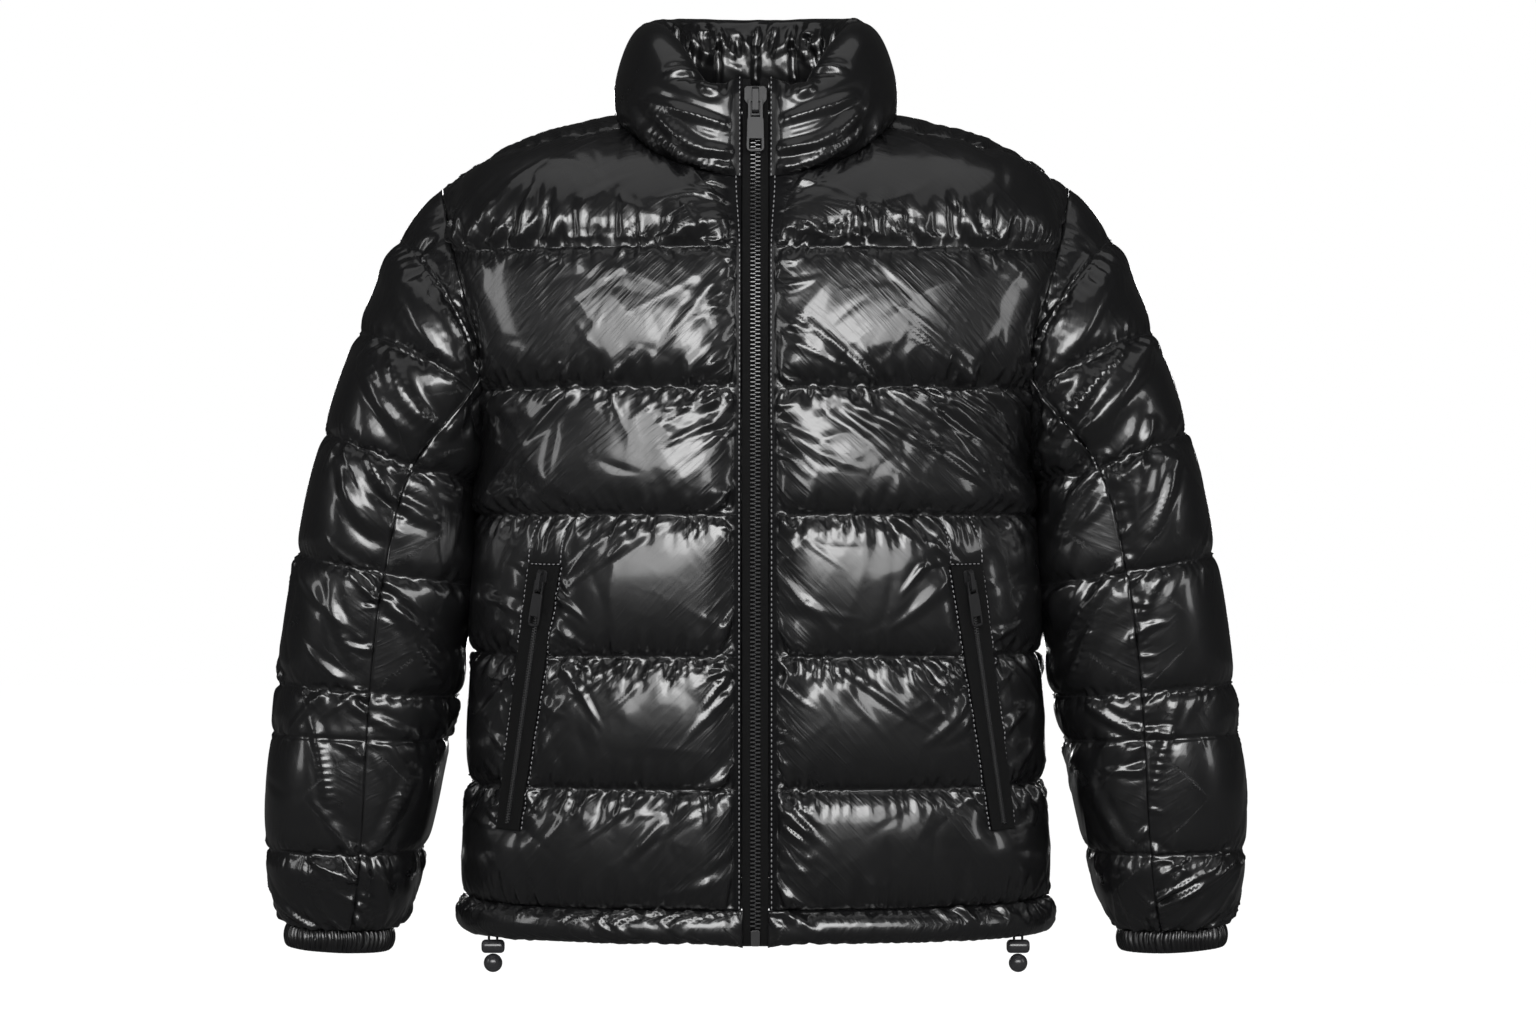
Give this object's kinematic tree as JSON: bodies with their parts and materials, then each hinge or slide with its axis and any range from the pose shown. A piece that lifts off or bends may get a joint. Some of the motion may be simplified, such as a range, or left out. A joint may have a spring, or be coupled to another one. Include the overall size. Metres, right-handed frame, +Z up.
{
  "type": "quilted puffer jacket",
  "caption": "Zipped glossy puffer jacket, empty and upright: stand collar, quilted body, two-piece sleeves, gathered cuffs, slanted zipped pockets and a drawcord hem.",
  "frame": {"origin": "on the middle plane, inside the neck at the height where the shoulders hold the jacket", "axes": "+Z up, -Y the jacket's front with its zip, +X the wearer's left side"},
  "size_m": [0.78, 0.2946, 0.7655],
  "materials": {
    "shell": "glossy coated nylon over padding",
    "elastic": "glossy coated nylon gathered over elastic",
    "zip_tape": "woven tape, matt",
    "zip_teeth": "moulded black teeth, half matt",
    "black_metal": "black enamel, half gloss",
    "black_plastic": "black moulded plastic",
    "cord": "braided elastic cord"
  },
  "bodies": {
    "jacket": {"back": "shell", "front_left": "shell", "front_right": "shell", "collar": "shell", "hem_band": "shell", "sleeve_outer_left": "shell", "sleeve_outer_right": "shell", "sleeve_inner_left": "shell", "sleeve_inner_right": "shell", "cuff_left": "elastic", "cuff_right": "elastic", "zip_tape_left": "zip_tape", "zip_tape_right": "zip_tape", "zip_chain": "zip_teeth", "zip_box": "zip_teeth", "zip_slider": "black_metal", "pocket_tape_left": "zip_tape", "pocket_tape_right": "zip_tape", "pocket_chain_left": "zip_teeth", "pocket_chain_right": "zip_teeth", "pocket_slider_left": "black_metal", "pocket_slider_right": "black_metal", "drawcord_left": "cord", "drawcord_right": "cord", "cord_lock_left": "black_plastic", "cord_lock_right": "black_plastic", "cord_ball_left": "black_plastic", "cord_ball_right": "black_plastic"},
    "main_pull": {"zip_pull": "black_metal"},
    "pocket_pull_l": {"pocket_pull_left": "black_metal"},
    "pocket_pull_r": {"pocket_pull_right": "black_metal"}
  },
  "joints": [
    {"name": "main_pull_swing", "type": "hinge", "parent": "jacket", "child": "main_pull", "pos_m": [0, -0.10925, 0.01029], "axis": [-1, 0, 0], "range_deg": [0, 150]},
    {"name": "pocket_pull_l_swing", "type": "hinge", "parent": "jacket", "child": "pocket_pull_l", "pos_m": [0.16608, -0.11748, -0.3612], "axis": [-0.8543, -0.4898, -0.1741], "range_deg": [0, 120]},
    {"name": "pocket_pull_r_swing", "type": "hinge", "parent": "jacket", "child": "pocket_pull_r", "pos_m": [-0.16608, -0.11748, -0.3612], "axis": [-0.8543, 0.4898, 0.1741], "range_deg": [0, 120]}
  ]
}
